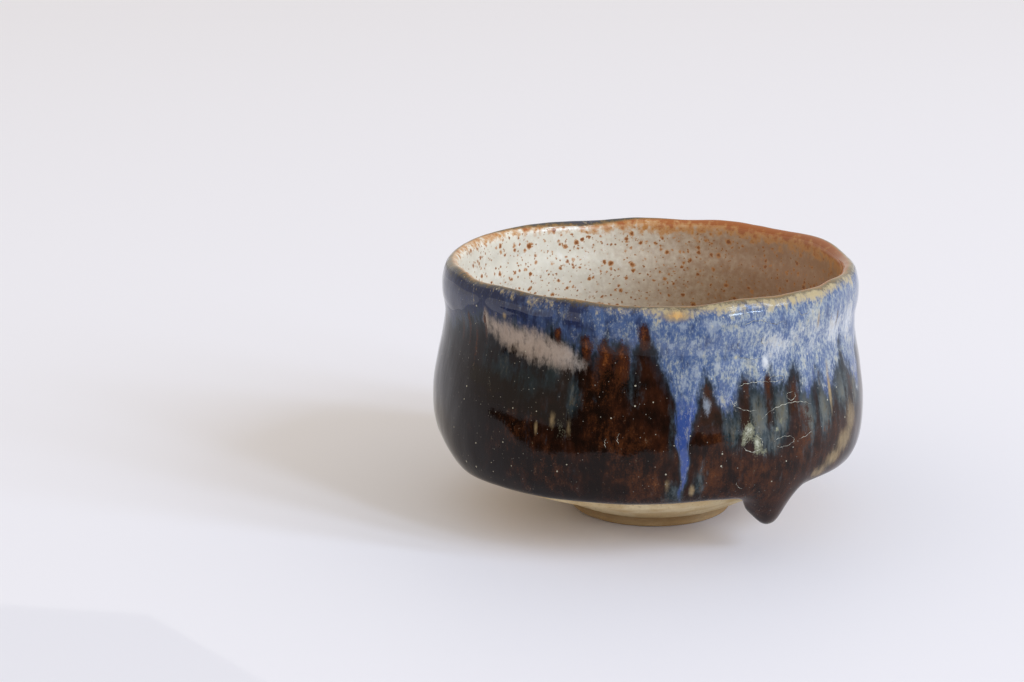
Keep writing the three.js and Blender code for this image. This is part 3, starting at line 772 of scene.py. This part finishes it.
# %% Everything on the outside, from the deepest colour to the surface
EDGE = {"streak": 2.2, "fine_streak": 1.5, "grain": 1.3, "fine_mottle": 1.4, "mottle": 2.4}
THIN = {"fine_mottle": 0.36, "mottle": 0.25, "grit": 0.25, "streak": 0.1}
BREAK = {"fine_streak": 0.15, "grit": 0.2, "grain": 0.2, "fine_mottle": 0.4}
DRAINED = {"fine_mottle": 0.9, "mottle": 0.9, "grit": 0.4}
CLOUDED = {"streak": 0.1, "fine_streak": 0.08, "grain": 0.2, "fine_mottle": 0.36, "mottle": 0.25}
MELT = [
    # Painted light: the iron is painted browner and lighter on the window side.
    ("#33190d", "sunny", {"mottle": 0.35, "fine_mottle": 0.2, "streak": 0.15}, 0.5, 1.3, 1.0),
    # The haze layers follow a field that is weighted towards the window side: real haze with painted light.
    ("#182629", "haze", {"mottle": 0.2, "fine_mottle": 0.15, "streak": 0.12}, 0.14, 0.55, 0.8),
    ("#4b2913", "rust", THIN, 0.34, 0.95, 0.9),
    ("#7e451c", "rust", {**THIN, "grain": 0.25}, 0.7, 1.25, 0.75),
    ("#5a4b2c", "haze", {"streak": 0.3, "fine_mottle": 0.25, "grain": 0.15}, 0.45, 1.1, 0.75),
    ("dissolved_cobalt", "haze", {"streak": 0.45, "fine_streak": 0.3, "grain": 0.2}, 0.2, 1.35, 0.85),
    ("#5c4f31", "haze", {"fine_streak": 0.3, "streak": 0.35, "grain": 0.2}, 0.7, 1.3, 0.65),
    ("#232c33", "cobalt", EDGE, -9.0, -1.0, 0.6),
    ("#3d4857", "cobalt", EDGE, -3.5, 0.8, 0.75),
    ("cobalt_blue", "cobalt", EDGE, -2.2, 3.6, 1.0),
    ("#8f96a0", "pale", {"grit": 0.16, "fine_mottle": 0.25, "grain": 0.15}, 0.2, 0.9, 0.7),
    ("#b6ae90", "pale", {"grit": 0.16, "fine_mottle": 0.2}, 0.9, 1.2, 0.8),
    ("milk", "cloud", CLOUDED, 0.0, 1.18, 0.95),
    ("#32180e", "rust", BREAK, 0.5, 1.0, 0.9),
    ("#73401d", "rust", BREAK, 0.95, 1.6, 0.8),
    ("#9a835f", "ochre", {"fine_mottle": 0.14, "grain": 0.08, "streak": 0.08}, 0.22, 0.95, 0.8),
    ("#cf9c57", "ochre", {"fine_mottle": 0.25, "grain": 0.15}, 0.85, 1.35, 0.9),
    ("#77755f", "sage", {"fine_mottle": 0.45, "grit": 0.3}, 0.35, 0.8, 0.85),
    ("#aaa894", "sage", {"fine_mottle": 0.45, "grit": 0.3}, 0.85, 1.25, 0.9),
    ("#b29d73", "pale_lip", {"fine_mottle": 0.3, "mottle": 0.3, "grain": 0.2}, 0.45, 1.05, 0.85),
    ("#4f4530", "below_lip", DRAINED, 2.4, 0.8, 0.8),
    ("#936d3c", "below_lip", DRAINED, 1.3, -0.2, 0.85),
    ("#b3ac98", "pinpricks", {}, 0.1, 0.5, 0.85),
    ("#8f8a80", "fine_pinpricks", {}, 0.1, 0.5, 0.7),
]
# Painted light: the dissolved cobalt and the milky clouds are painted lighter on the window side.
DISSOLVED_COBALT_LIT_SIDE = [("#626c6f", "sunny", {"mottle": 0.1}, 0.55, 1.0, 1.0)]
MILK = [
    ("#cccbc9", "sunny", {}, 0.6, 0.95, 1.0),
    ("#857468", "even", {"fine_streak": 0.1, "fine_mottle": 0.35, "mottle": 0.3}, 0.45, 0.95, 0.6),
]
OUTSIDE_FIELDS = "cobalt below_lip pale_lip rust cloud ochre sage haze pale sunny low".split()
print(len(MELT), "layers, one of them made of", len(COBALT_BLUE), "blues")


# %% The melt's colour and relief
def melt_colour(tree):
    """Colour of the outside glazes and the height of their surface in mm."""
    parts = {name: add(tree, "Attribute", {}, out="Fac", attribute_name=name) for name in OUTSIDE_FIELDS}
    parts |= noises(tree, MELT_NOISES)
    parts["pinpricks"] = specks(tree, 3.0, 0.2, 0.5, 0.2)
    parts["fine_pinpricks"] = specks(tree, 1.4, 0.12, 0.35, 0.2)
    parts["dissolved_cobalt"] = lay(tree, paint("#26323c"), parts, DISSOLVED_COBALT_LIT_SIDE)
    parts["cobalt_blue"] = lay(tree, paint("#242a45"), parts, COBALT_BLUE)
    parts["milk"] = lay(tree, paint("#a89789"), parts, MILK)
    height = roughened(tree, 0.0, parts, {"streak": 0.02, "fine_streak": 0.008, "mottle": 0.03})
    return lay(tree, paint("#150b07"), parts, MELT), height


# %% Iron glaze and cobalt glaze
def melt_material(name, roughness, shine):
    """Iron and cobalt glaze, dipped and fired: a clear, glassy gloss over the melt, the same melt in both."""
    material, tree = blank(name)
    colour, height = melt_colour(tree)
    relief = add(tree, "Bump", {"Height": height, "Distance": 0.001, "Strength": 0.5})
    surface = add(tree, "BsdfPrincipled", {
        "Base Color": colour, "Roughness": roughness, "IOR": 1.5, "Normal": relief, "Specular IOR Level": shine})
    add(tree, "OutputMaterial", {"Surface": surface})
    return material


iron_glaze = melt_material("iron_glaze_fired", 0.08, 0.17)
cobalt_glaze = melt_material("cobalt_glaze_fired", 0.05, 0.5)
outer_iron_glaze.data.materials.append(iron_glaze)
cobalt_runs.data.materials.append(cobalt_glaze)
print("outside glazes:", len(iron_glaze.node_tree.nodes), "nodes each")

# %% [markdown]
# ## Speckled cream and the ochre lip
# The cream glaze is a milky white over iron-bearing clay. Iron specks bleed up through it as orange-brown
# spots with soft rims, the larger ones darker in the middle. Towards the lip the glaze drained thin, so the
# same iron turns the whole edge ochre. The side away from the window is washed brown, partly in its glaze and
# partly as painted shade.

# %% Layers of the cream glaze
CREAM_NOISES = {
    "broad": (1, 7, 3, 0.6), "curdled": (1, 2.2, 3, 0.6), "washed": (1, 1.8, 5, 0.6), "ragged": (1, 2.6, 4, 0.6),
}
CREAM = [
    ("#d0c8b6", "even", {"broad": 0.5}, 0.35, 0.8, 0.5),
    ("#e9e3d5", "even", {"curdled": 0.5}, 0.5, 0.95, 0.7),
    # Painted shade, partly real: the inside wall away from the window is washed brown.
    ("#8c5b35", "brown_and_shaded_side", {"washed": 0.1}, 0.45, 1.05, 0.88),
    ("#b97c3f", "large_specks", {}, 0.0, 0.41, 0.85), ("#7d4218", "large_specks", {}, 0.33, 0.7, 0.9),
    ("#b57a40", "specks", {}, 0.0, 0.41, 0.85), ("#81451c", "specks", {}, 0.33, 0.7, 0.9),
    ("#ad7a46", "small_specks", {}, 0.0, 0.41, 0.85), ("#7c471f", "small_specks", {}, 0.33, 0.7, 0.85),
    ("#bb8347", "near_lip", {"ragged": 3.0}, -2.8, 0.2, 0.85),
    ("#9c5220", "near_lip", {"ragged": 3.0}, -0.4, 2.2, 0.9),
]


def cream_colour(tree):
    """Colour of the inside glaze. Its browner side is partly painted shade, washed brown away from the window, and
    there the ochre of the lip reaches 4 mm further down.
    """
    parts = noises(tree, CREAM_NOISES)
    parts["brown_and_shaded_side"] = add(tree, "Attribute", {}, out="Fac", attribute_name="brown_and_shaded_side")
    from_crest = add(tree, "Attribute", {}, out="Fac", attribute_name="from_crest")
    parts["near_lip"] = add(tree, "Math", {0: parts["brown_and_shaded_side"], 1: 4.2, 2: from_crest}, operation="MULTIPLY_ADD")
    parts["large_specks"] = specks(tree, 3.7, 0.74, 0.45, 1.1, parts["brown_and_shaded_side"])
    parts["specks"] = specks(tree, 2.3, 0.5, 0.2, 1.1, parts["brown_and_shaded_side"])
    parts["small_specks"] = specks(tree, 1.3, 0.27, 0.25, 1.1, parts["brown_and_shaded_side"])
    return lay(tree, paint("#dfd7c4"), parts, CREAM)


# %% Cream glaze and ochre lip
cream_glaze, tree = blank("speckled_cream_glaze_satin")
pitted = add(tree, "TexNoise", {"Vector": millimetres(tree), "Scale": 1 / 2.4, "Detail": 3.0}, out="Fac")
relief = add(tree, "Bump", {"Height": pitted, "Distance": 0.001, "Strength": 0.12})
surface = add(tree, "BsdfPrincipled", {
    "Base Color": cream_colour(tree), "Roughness": 0.34, "IOR": 1.5, "Normal": relief, "Coat Weight": 0.25,
    "Coat Roughness": 0.12})
add(tree, "OutputMaterial", {"Surface": surface})
cream_lining.data.materials.append(cream_glaze)

ochre_glaze, tree = blank("ochre_lip_glaze_fired")
outer, height = melt_colour(tree)
inward = add(tree, "Attribute", {}, out="Fac", attribute_name="below_lip")
side = add(tree, "MapRange", {"Value": inward, "From Min": 0.5, "From Max": -0.5}, interpolation_type="SMOOTHSTEP")
colour = add(tree, "Mix", {SHARE: side, UNDER: outer, OVER: cream_colour(tree)}, out=MIXED, data_type="RGBA")
relief = add(tree, "Bump", {"Height": height, "Distance": 0.001, "Strength": 0.4})
surface = add(tree, "BsdfPrincipled", {
    "Base Color": colour, "Roughness": 0.05, "IOR": 1.5, "Normal": relief, "Specular IOR Level": 0.5})
add(tree, "OutputMaterial", {"Surface": surface})
ochre_lip.data.materials.append(ochre_glaze)
print("inside glaze:", len(cream_glaze.node_tree.nodes), "nodes; lip:", len(ochre_glaze.node_tree.nodes))

# %% Thread glaze
thread_glaze, tree = blank("crept_glaze_white")
worn = add(tree, "TexNoise", {"Vector": millimetres(tree), "Scale": 1 / 1.1, "Detail": 2.0}, out="Fac")
share = add(tree, "MapRange", {"Value": worn, "From Min": 0.4, "From Max": 0.62})
shades = {SHARE: share, UNDER: paint("#c9c4b2"), OVER: paint("#5a5347")}
colour = add(tree, "Mix", shades, out=MIXED, data_type="RGBA")
surface = add(tree, "BsdfPrincipled", {"Base Color": colour, "Roughness": 0.3, "IOR": 1.5})
add(tree, "OutputMaterial", {"Surface": surface})
glaze_threads.data.materials.append(thread_glaze)

# %% [markdown]
# ## Bare stoneware
# Unglazed buff clay: matt, sandy, paler where the trimming tool smoothed it, and painted darker brown on the
# foot as painted shade under the bowl. The sand is 0.7 mm across and the coarser grit 1.3 mm.

# %% Bare clay
bare_clay, tree = blank("buff_stoneware_trimmed")
flat = millimetres(tree)
wide = add(tree, "TexNoise", {"Vector": flat, "Scale": 1 / 9, "Detail": 3.0}, out="Fac")
sand = add(tree, "TexNoise", {"Vector": flat, "Scale": 1 / 0.7, "Detail": 4.0, "Roughness": 0.7}, out="Fac")
grit = add(tree, "TexVoronoi", {"Vector": flat, "Scale": 1 / 1.3}, out="Distance")
patch = add(tree, "MapRange", {"Value": wide, "From Min": 0.38, "From Max": 0.64}, interpolation_type="SMOOTHSTEP")
shades = {SHARE: patch, UNDER: paint("#dcc8a0"), OVER: paint("#c9ae80")}
colour = add(tree, "Mix", shades, out=MIXED, data_type="RGBA")
dusty = add(tree, "MapRange", {"Value": sand, "From Min": 0.55, "From Max": 0.7, "To Max": 0.6})
colour = add(tree, "Mix", {SHARE: dusty, UNDER: colour, OVER: paint("#a48455")}, out=MIXED, data_type="RGBA")
height_on_pot = add(tree, "SeparateXYZ", {0: flat}, out="Z")
# Painted shade: the clay is painted darker brown on the foot, below 4.4 mm, where the bowl shades it.
low = add(tree, "MapRange", {"Value": height_on_pot, "From Min": 4.4, "From Max": 2.8, "To Max": 0.75})
colour = add(tree, "Mix", {SHARE: low, UNDER: colour, OVER: paint("#8d6a41")}, out=MIXED, data_type="RGBA")
half_grit = add(tree, "Math", {0: grit, 1: 0.5}, operation="MULTIPLY")
grain_height = add(tree, "Math", {0: sand, 1: half_grit}, operation="ADD")
relief = add(tree, "Bump", {"Height": grain_height, "Distance": 0.001, "Strength": 0.3})
surface = add(tree, "BsdfPrincipled", {"Base Color": colour, "Roughness": 0.88, "IOR": 1.45, "Normal": relief})
add(tree, "OutputMaterial", {"Surface": surface})
body.data.materials.append(bare_clay)
foot.data.materials.append(bare_clay)

# %% [markdown]
# ## Table, window light and camera
# The bowl stands on a pale table by a window: one large soft source low on its right, a little towards the
# viewer, split by two glazing bars. The glaze mirrors the three panes on the lip. The daylight is cool, and a
# soft, warmer sky fills the shadows. Towards the viewer the room is dim, and the glaze mirrors that too.

# %% Table
table_top = bpy.data.meshes.new("pale_table")
table_top.from_pydata([(-4, -4, 0), (4, -4, 0), (4, 6, 0), (-4, 6, 0)], [], [(0, 1, 2, 3)])
table = bpy.data.objects.new("pale_table", table_top)
scene.collection.objects.link(table)
table_paint, tree = blank("pale_table_paint")
surface = add(tree, "BsdfPrincipled", {"Base Color": paint("#edebf2"), "Roughness": 0.6})
add(tree, "OutputMaterial", {"Surface": surface})
table.data.materials.append(table_paint)

# %% Window light
WINDOW_AWAY, WINDOW_UP = 5.0, math.radians(27)
BOWL_MIDDLE = Vector((0, 0, 0.045))
for pane, turn in enumerate((-17, -30, -43)):
    lamp = bpy.data.lights.new(f"window_pane_{pane}", "AREA")
    lamp.shape = "RECTANGLE"
    lamp.size, lamp.size_y = 0.52, 2.9
    lamp.energy = 76
    lamp.color = (0.62, 0.77, 1.0)
    level = Vector((math.cos(math.radians(turn)), math.sin(math.radians(turn)), 0))
    towards = level * math.cos(WINDOW_UP) + Vector((0, 0, math.sin(WINDOW_UP)))
    pane_object = bpy.data.objects.new(lamp.name, lamp)
    pane_object.location = BOWL_MIDDLE + WINDOW_AWAY * towards
    pane_object.rotation_euler = towards.to_track_quat("Z", "Y").to_euler()
    scene.collection.objects.link(pane_object)

# %% Dim room, seen only in the glaze
room_shape = bpy.data.meshes.new("dim_room")
room_shape.from_pydata([(-0.7, -0.04, 0.001), (-0.13, -0.1, 0.001), (-0.03, -0.21, 0.001), (0.45, -0.21, 0.001),
                        (0.45, -0.95, 0.001), (-0.7, -0.95, 0.001), (0.45, -0.95, 0.5), (-0.7, -0.95, 0.5)],
                       [], [(0, 5, 4, 3, 2, 1), (5, 7, 6, 4)])
room = bpy.data.objects.new("dim_room", room_shape)
scene.collection.objects.link(room)
room.visible_camera = room.visible_diffuse = room.visible_shadow = room.visible_transmission = False
room_paint, tree = blank("dim_room_wall")
surface = add(tree, "BsdfDiffuse", {"Color": paint("#2a221d")})
add(tree, "OutputMaterial", {"Surface": surface})
room.data.materials.append(room_paint)

# %% Sky
sky = bpy.data.worlds.new("soft_sky")
sky.use_nodes = True
sky.node_tree.nodes.clear()
glow = add(sky.node_tree, "Background", {"Color": (1.0, 0.94, 0.84, 1), "Strength": 0.78})
add(sky.node_tree, "OutputWorld", {"Surface": glow})
scene.world = sky
scene.view_settings.view_transform = "Standard"

# %% Camera, turned a little to the left and tilted down
camera_data = bpy.data.cameras.new("camera")
camera_data.sensor_width = 36
camera_data.lens = 79.24
camera = bpy.data.objects.new("camera", camera_data)
turn, tilt = math.radians(3.692), math.radians(-14.742)
forward = Vector((-math.sin(turn) * math.cos(tilt), math.cos(turn) * math.cos(tilt), math.sin(tilt)))
right = Vector((math.cos(turn), math.sin(turn), 0))
upward = right.cross(forward)
camera.matrix_world = Matrix.Translation(Vector((0.0013, -0.64852, 0.22027))) @ Matrix(
    (right, upward, -forward)).transposed().to_4x4()
print("camera:", round(camera_data.lens, 1), "mm lens,", round(camera.location.length, 3), "m away")
scene.collection.objects.link(camera)
scene.camera = camera

# %% The end
bpy.context.view_layer.update()
